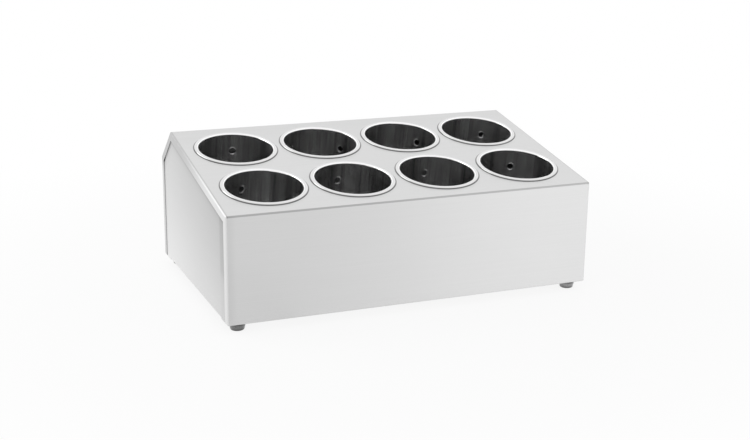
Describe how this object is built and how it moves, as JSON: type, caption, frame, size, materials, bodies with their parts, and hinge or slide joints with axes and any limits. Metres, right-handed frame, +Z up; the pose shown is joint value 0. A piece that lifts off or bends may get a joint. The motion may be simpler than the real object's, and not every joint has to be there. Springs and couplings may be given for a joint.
{
  "type": "cutlery dispenser",
  "caption": "Countertop cutlery dispenser: a brushed steel housing with a sloping top, on rubber feet, that holds rows of lift-out perforated cylinders.",
  "frame": {"origin": "centre of the footprint, on the surface that the feet stand on", "axes": "+X to the right along the front, +Y from the front wall to the back, +Z up"},
  "size_m": [0.492, 0.316, 0.1958],
  "materials": {
    "brushed_steel": "fine brushed, satin",
    "bright_steel": "bright, smooth drawn",
    "fastener_steel": "bright",
    "foot_rubber": "moulded, half gloss"
  },
  "bodies": {
    "housing": {"wrap_shell": "brushed_steel", "left_side_panel": "brushed_steel", "right_side_panel": "brushed_steel", "foot_front_left": "foot_rubber", "foot_front_right": "foot_rubber", "foot_back_left": "foot_rubber", "foot_back_right": "foot_rubber", "foot_screw_front_left": "fastener_steel", "foot_screw_front_right": "fastener_steel", "foot_screw_back_left": "fastener_steel", "foot_screw_back_right": "fastener_steel", "foot_washer_front_left": "fastener_steel", "foot_washer_front_right": "fastener_steel", "foot_washer_back_left": "fastener_steel", "foot_washer_back_right": "fastener_steel", "foot_nut_front_left": "fastener_steel", "foot_nut_front_right": "fastener_steel", "foot_nut_back_left": "fastener_steel", "foot_nut_back_right": "fastener_steel"},
    "cylinder_front_1": {"cylinder_front_1": "bright_steel"},
    "cylinder_front_2": {"cylinder_front_2": "bright_steel"},
    "cylinder_front_3": {"cylinder_front_3": "bright_steel"},
    "cylinder_front_4": {"cylinder_front_4": "bright_steel"},
    "cylinder_back_1": {"cylinder_back_1": "bright_steel"},
    "cylinder_back_2": {"cylinder_back_2": "bright_steel"},
    "cylinder_back_3": {"cylinder_back_3": "bright_steel"},
    "cylinder_back_4": {"cylinder_back_4": "bright_steel"}
  },
  "joints": [
    {"name": "lift_front_1", "type": "slide", "parent": "housing", "child": "cylinder_front_1", "axis": [0, -0.1832, 0.9831], "range_m": [0, 0.15]},
    {"name": "lift_front_2", "type": "slide", "parent": "housing", "child": "cylinder_front_2", "axis": [0, -0.1832, 0.9831], "range_m": [0, 0.15]},
    {"name": "lift_front_3", "type": "slide", "parent": "housing", "child": "cylinder_front_3", "axis": [0, -0.1832, 0.9831], "range_m": [0, 0.15]},
    {"name": "lift_front_4", "type": "slide", "parent": "housing", "child": "cylinder_front_4", "axis": [0, -0.1832, 0.9831], "range_m": [0, 0.15]},
    {"name": "lift_back_1", "type": "slide", "parent": "housing", "child": "cylinder_back_1", "axis": [0, -0.1832, 0.9831], "range_m": [0, 0.15]},
    {"name": "lift_back_2", "type": "slide", "parent": "housing", "child": "cylinder_back_2", "axis": [0, -0.1832, 0.9831], "range_m": [0, 0.15]},
    {"name": "lift_back_3", "type": "slide", "parent": "housing", "child": "cylinder_back_3", "axis": [0, -0.1832, 0.9831], "range_m": [0, 0.15]},
    {"name": "lift_back_4", "type": "slide", "parent": "housing", "child": "cylinder_back_4", "axis": [0, -0.1832, 0.9831], "range_m": [0, 0.15]}
  ]
}
